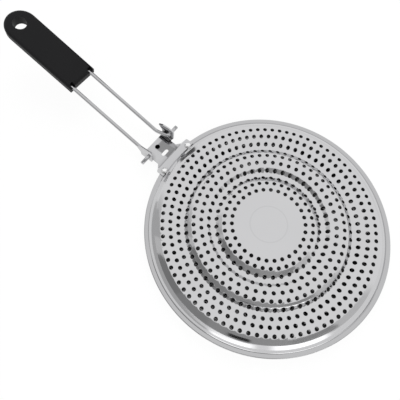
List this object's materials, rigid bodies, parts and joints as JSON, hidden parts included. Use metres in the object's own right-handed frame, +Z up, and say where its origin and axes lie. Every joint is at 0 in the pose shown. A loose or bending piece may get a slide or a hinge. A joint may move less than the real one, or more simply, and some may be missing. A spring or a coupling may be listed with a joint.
{
  "type": "hob heat diffuser with folding handle",
  "caption": "Round double-walled perforated steel heat diffuser that lies on a gas ring under a small pan, with a wire handle and plastic grip that fold over the disc.",
  "frame": {"origin": "on the disc's axis, in the plane that the underside's crown rests on", "axes": "+Z up out of the pan side, -X along the handle towards the grip, Y along the handle's pivot pins"},
  "size_m": [0.4006, 0.21, 0.0549],
  "materials": {
    "pressed_steel": "satin",
    "bright_steel": "polished",
    "plated_wire": "bright drawn",
    "black_plastic": "matte"
  },
  "bodies": {
    "diffuser": {"top_plate": "pressed_steel", "bottom_plate": "pressed_steel", "handle_bracket": "bright_steel", "left_rivet": "bright_steel", "right_rivet": "bright_steel"},
    "handle": {"handle_wire": "plated_wire", "grip": "black_plastic"}
  },
  "joints": [
    {"name": "handle_fold", "type": "hinge", "parent": "diffuser", "child": "handle", "pos_m": [-0.1207, 0, 0.0129], "axis": [0, 1, 0], "range_deg": [0, 163]}
  ]
}
